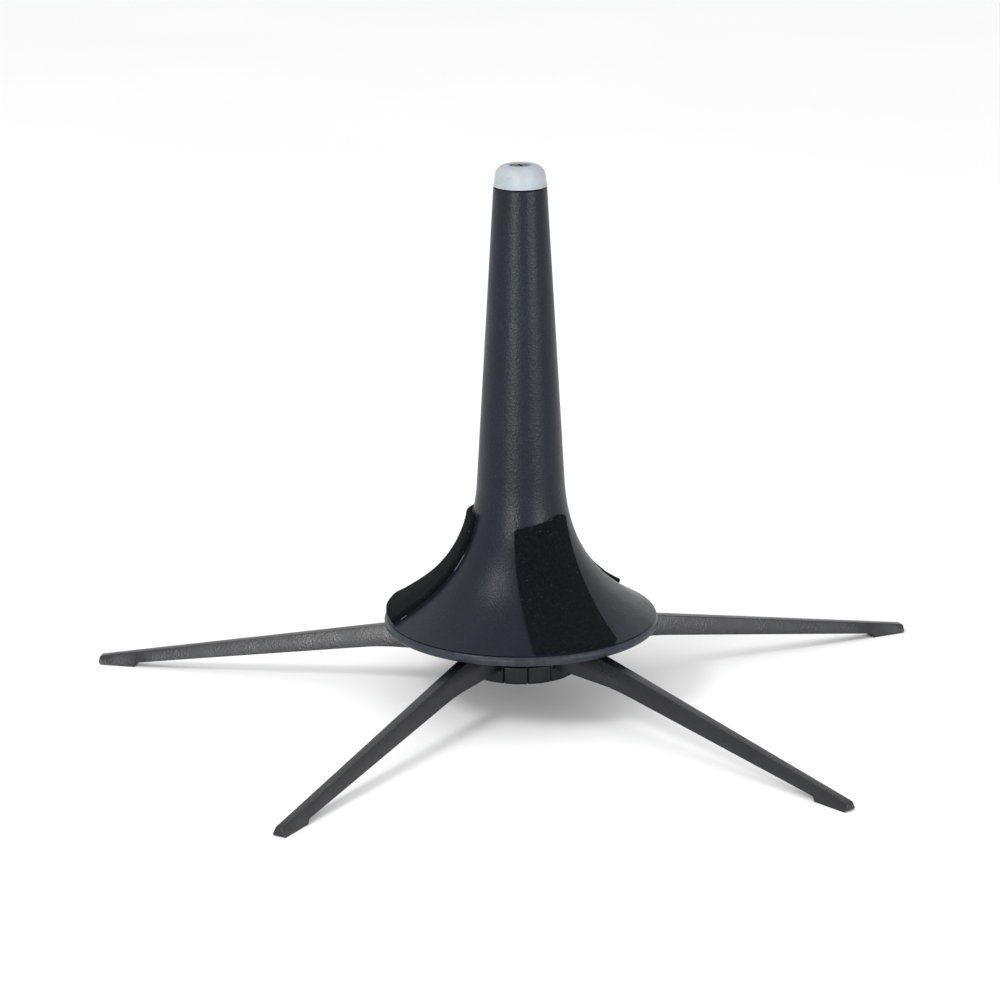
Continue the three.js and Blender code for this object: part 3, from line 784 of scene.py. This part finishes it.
def build_leg(number):
    points, faces = [], []
    for radius, under, top in leg_stations():
        bottom_half, top_half = leg_half_widths(radius)
        points += [
            (radius * MM, -bottom_half * MM, height(under)),
            (radius * MM, bottom_half * MM, height(under)),
            (radius * MM, top_half * MM, height(top)),
            (radius * MM, -top_half * MM, height(top)),
        ]
    count = len(points) // 4
    for i in range(count - 1):
        for k in range(4):
            after = (k + 1) % 4
            faces.append((4 * i + k, 4 * i + after, 4 * (i + 1) + after, 4 * (i + 1) + k))
    faces.append((0, 1, 2, 3))
    faces.append(tuple(4 * (count - 1) + k for k in range(4)))
    leg = from_faces(f"leg_{number}_fine", points, faces)
    round_edges(leg, 0.42 * MM, 4, 28)
    leg.data.transform(Matrix.Rotation(leg_azimuth(number), 4, "Z"))
    hole = cross_bar(f"leg_{number}_hole", PIN_HOLE, -8 * MM, 8 * MM, leg_azimuth(number))
    cut_away(leg, [hole])
    smooth(leg, 28)
    return finish_piece(leg, LEG_FINISH, f"leg_{number}", "leg_plastic", f"leg_{number}")


def build_pin(number):
    name = f"hinge_pin_{number}_fine"
    pin = cross_bar(name, PIN_RADIUS, -PIN_HALF_LENGTH, PIN_HALF_LENGTH, leg_azimuth(number))
    round_edges(pin, 0.3 * MM, 3)
    smooth(pin)
    return finish_piece(pin, BRIGHT_STEEL, "base", "steel", f"hinge_pin_{number}")


for leg_number in LEG_NUMBERS:
    build_leg(leg_number)
    build_pin(leg_number)


# ---- hub and its cover ----

HUB_RADIUS = 21.5
HUB_SPIGOT = 19.2
HUB_BOTTOM = 12.9
DRUM_BOTTOM = 16.9
CORE_RADIUS = 9.6
CORE_TOP = 22.0
LUG_TOP = 27.0
CROWN_BORE = 17.2
CROWN_TOP = 36.0
THREAD_BOTTOM = 28.2
THREAD_TOP = 35.0
THREAD_PITCH = 2.4
THREAD_DEPTH = 0.45
SLOT_WIDTH = 7.8
SLOT_FLOOR = 15.0
COVER_BOTTOM = 10.0
COVER_FLOOR_TOP = 12.6
COVER_TOP = 16.6
COVER_BORE = 19.5
GRIP_PANELS = 15
GRIP_GROOVE_HALF = 0.55
GRIP_GROOVE_DEPTH = 0.7
SCREW_CIRCLE = 13.5
SCREW_HEAD = 2.8
SCREW_HEAD_DEPTH = 1.1
SCREW_SHANK = 1.3
SCREW_HOLE = 1.65
SCREW_TIP = 19.0
COUNTERBORE = 3.2
COUNTERBORE_TOP = 11.5
HUB_EDGE = 0.3
CROWN_CHAMFER = 0.6
GAP = 0.3
# A shallow ring sunk into the cover's underside.
RING_INNER = 17.8
RING_OUTER = 18.6
RING_DEPTH = 0.25


def lug_azimuth(number):
    return leg_azimuth(number) + LEG_PITCH / 2


def screw_hole(name, radius, bottom, top, azimuth):
    tool = upright(name, radius * MM, height(bottom), height(top))
    place_at(tool, SCREW_CIRCLE * MM, azimuth)
    return tool


def leg_slot(name, inner, floor, number):
    return block(
        name, inner * MM, (HUB_RADIUS + 2) * MM, SLOT_WIDTH * MM,
        height(floor), height(CROWN_TOP + 1), leg_azimuth(number),
    )


def cut_thread(hub):
    """Sinks a screw thread into the crown's outer wall, fading out at both ends."""
    for vertex in hub.data.vertices:
        radius = math.hypot(vertex.co.x, vertex.co.y)
        z = (vertex.co.z - FLOOR_Z) / MM
        if radius < (HUB_RADIUS - 0.1) * MM or not THREAD_BOTTOM <= z <= THREAD_TOP:
            continue
        fade = min(1.0, (z - THREAD_BOTTOM) / 0.8, (THREAD_TOP - z) / 0.8)
        phase = z / THREAD_PITCH - math.atan2(vertex.co.y, vertex.co.x) / math.tau
        depth = THREAD_DEPTH * fade * (0.5 - 0.5 * math.cos(math.tau * phase)) ** 1.5
        shrink = 1 - depth * MM / radius
        vertex.co.x *= shrink
        vertex.co.y *= shrink


def build_hub():
    crown_wall = line((HUB_RADIUS, THREAD_BOTTOM), (HUB_RADIUS, THREAD_TOP), 28)
    profile = [(0, HUB_BOTTOM), (HUB_SPIGOT - HUB_EDGE, HUB_BOTTOM), (HUB_SPIGOT, HUB_BOTTOM + HUB_EDGE)]
    profile += [(HUB_SPIGOT, DRUM_BOTTOM), (HUB_RADIUS - HUB_EDGE, DRUM_BOTTOM)]
    profile += [(HUB_RADIUS, DRUM_BOTTOM + HUB_EDGE)] + crown_wall + [(HUB_RADIUS, THREAD_TOP)]
    profile += [(HUB_RADIUS, CROWN_TOP - CROWN_CHAMFER), (HUB_RADIUS - CROWN_CHAMFER, CROWN_TOP)]
    profile += [(CROWN_BORE + HUB_EDGE, CROWN_TOP), (CROWN_BORE, CROWN_TOP - HUB_EDGE), (CROWN_BORE, LUG_TOP)]
    profile += [(CORE_RADIUS, LUG_TOP), (CORE_RADIUS, CORE_TOP), (0, CORE_TOP)]
    hub = revolve("leg_hub_fine", to_metres(profile), 180, closed=False)
    cut_thread(hub)
    pin_start = -PIN_HALF_LENGTH - GAP * MM
    tools = []
    for number in LEG_NUMBERS:
        azimuth = leg_azimuth(number)
        lug = lug_azimuth(number)
        tools.append(leg_slot(f"slot_{number}", CORE_RADIUS, SLOT_FLOOR, number))
        tools.append(leg_slot(f"slot_top_{number}", SLOT_WIDTH / 2, CORE_TOP, number))
        tools.append(cross_bar(f"pin_way_{number}", PIN_HOLE, pin_start, 21 * MM, azimuth))
        tools.append(screw_hole(f"lug_hole_{number}", SCREW_HOLE, HUB_BOTTOM - 1, SCREW_TIP + GAP, lug))
    cut_away(hub, tools)
    smooth(hub, 32)
    return finish_piece(hub, HUB_FINISH, "base", "hub_plastic", "leg_hub")


def groove_depth(angle):
    """How far the cover's side sinks in mm: a rounded groove between panels, and a slight bow on each."""
    pitch = math.tau / GRIP_PANELS
    from_groove = (angle - leg_azimuth(1) + pitch / 2) % pitch
    off_centre = min(from_groove, pitch - from_groove)
    half = GRIP_GROOVE_HALF / (COVER_RADIUS / MM)
    bow = 0.16 * (1 - off_centre / (pitch / 2)) ** 2
    if off_centre >= half:
        return bow
    return bow + GRIP_GROOVE_DEPTH * 0.5 * (1 + math.cos(math.pi * off_centre / half))


def carve_grip(cover):
    for vertex in cover.data.vertices:
        radius = math.hypot(vertex.co.x, vertex.co.y)
        if radius < (COVER_BORE + 1.2) * MM:
            continue
        sink = groove_depth(math.atan2(vertex.co.y, vertex.co.x))
        shrink = 1 - sink * MM / radius
        vertex.co.x *= shrink
        vertex.co.y *= shrink


def build_cover():
    outer = COVER_RADIUS / MM
    profile = [(0, COVER_BOTTOM), (6.0, COVER_BOTTOM), (RING_INNER - 0.2, COVER_BOTTOM)]
    profile += [(RING_INNER, COVER_BOTTOM + RING_DEPTH), (RING_OUTER, COVER_BOTTOM + RING_DEPTH)]
    profile += [(RING_OUTER + 0.2, COVER_BOTTOM)]
    profile += arc((outer - 0.9, COVER_BOTTOM + 0.9), 0.9, -90, 0, 6)
    profile += line((outer, COVER_BOTTOM + 1.4), (outer, COVER_TOP - 0.4), 5)
    profile += arc((outer - 0.35, COVER_TOP - 0.35), 0.35, 0, 90, 4)
    profile += [(COVER_BORE + 0.25, COVER_TOP), (COVER_BORE, COVER_TOP - 0.25)]
    profile += [(COVER_BORE, COVER_FLOOR_TOP), (0, COVER_FLOOR_TOP)]
    cover = revolve("hub_cover_fine", to_metres(profile), 720, closed=False)
    carve_grip(cover)
    tools = []
    for number in LEG_NUMBERS:
        lug = lug_azimuth(number)
        tools.append(leg_slot(f"cover_notch_{number}", CORE_RADIUS, SLOT_FLOOR, number))
        tools.append(screw_hole(f"cover_hole_{number}", SCREW_HOLE, COVER_BOTTOM - 1, COVER_TOP, lug))
        tools.append(screw_hole(f"counterbore_{number}", COUNTERBORE, COVER_BOTTOM - 1, COUNTERBORE_TOP, lug))
    cut_away(cover, tools)
    smooth(cover, 32)
    return finish_piece(cover, HUB_FINISH, "base", "hub_plastic", "hub_cover")


def build_cover_screws():
    head_face = COUNTERBORE_TOP - GAP - SCREW_HEAD_DEPTH
    for number in LEG_NUMBERS:
        name = f"cover_screw_{number}_fine"
        screw = build_screw(name, SCREW_HEAD, head_face, SCREW_HEAD_DEPTH, SCREW_SHANK, SCREW_TIP)
        place_at(screw, SCREW_CIRCLE * MM, lug_azimuth(number))
        smooth(screw)
        finish_piece(screw, DARK_STEEL, "base", "dark_steel", f"cover_screw_{number}")


build_hub()
build_cover()
build_cover_screws()


# ---- floor, light and camera ----

def build_floor():
    size = 6.0
    corners = [(-size, -size, FLOOR_Z), (size, -size, FLOOR_Z), (size, size, FLOOR_Z), (-size, size, FLOOR_Z)]
    floor = from_faces("floor", corners, [(0, 1, 2, 3)])
    floor.data.materials.append(pale_floor("pale floor"))


def aim(obj, target):
    obj.rotation_mode = "QUATERNION"
    obj.rotation_quaternion = (Vector(target) - obj.location).to_track_quat("-Z", "Y")


def soft_light(name, place, target, size, power):
    data = bpy.data.lights.new(name, "AREA")
    data.shape = "RECTANGLE"
    data.size, data.size_y = size
    data.energy = power
    light = bpy.data.objects.new(name, data)
    bpy.context.scene.collection.objects.link(light)
    light.location = place
    aim(light, target)


def studio_world():
    """Even white light, a little brighter overhead than at the horizon."""
    world = bpy.data.worlds.new("studio")
    world.use_nodes = True
    nodes, links = world.node_tree.nodes, world.node_tree.links
    direction = nodes.new("ShaderNodeTexCoord").outputs["Generated"]
    split = nodes.new("ShaderNodeSeparateXYZ")
    links.new(direction, split.inputs["Vector"])
    rise = nodes.new("ShaderNodeMapRange")
    rise.interpolation_type = "SMOOTHSTEP"
    for socket, value in (("From Min", 0.0), ("From Max", 0.9), ("To Min", 1.0), ("To Max", 1.05)):
        rise.inputs[socket].default_value = value
    links.new(split.outputs["Z"], rise.inputs["Value"])
    background = nodes["Background"]
    background.inputs["Color"].default_value = (1.0, 1.0, 1.0, 1)
    links.new(rise.outputs["Result"], background.inputs["Strength"])
    return world


def build_lights():
    middle = (0, 0, height(90))
    soft_light("key", (-0.78, -0.7, 1.2), middle, (0.45, 0.4), 9)
    soft_light("front left", (-0.62, -1.46, 0.18), middle, (0.6, 0.4), 11)
    soft_light("front right", (1.15, -1.15, 0.3), middle, (0.6, 0.6), 11)
    bpy.context.scene.world = studio_world()
    bpy.context.scene.view_settings.view_transform = "Standard"


CAMERA_DISTANCE = 1.2422
CAMERA_ELEVATION = math.radians(19.82)
CAMERA_LENS = 119.19
CAMERA_AIM = Vector((-7.68 * MM, 0, height(74.5)))
CAMERA_ROLL = math.radians(-0.225)


def build_camera():
    data = bpy.data.cameras.new("camera")
    data.lens = CAMERA_LENS
    data.sensor_width = 36
    data.clip_start, data.clip_end = 0.05, 30
    camera = bpy.data.objects.new("camera", data)
    bpy.context.scene.collection.objects.link(camera)
    camera.location = (
        0,
        -CAMERA_DISTANCE * math.cos(CAMERA_ELEVATION),
        FLOOR_Z + CAMERA_DISTANCE * math.sin(CAMERA_ELEVATION),
    )
    look = (CAMERA_AIM - camera.location).to_track_quat("-Z", "Y")
    camera.rotation_mode = "QUATERNION"
    camera.rotation_quaternion = look @ Matrix.Rotation(CAMERA_ROLL, 3, "Z").to_quaternion()
    bpy.context.scene.camera = camera


build_floor()
build_lights()
build_camera()
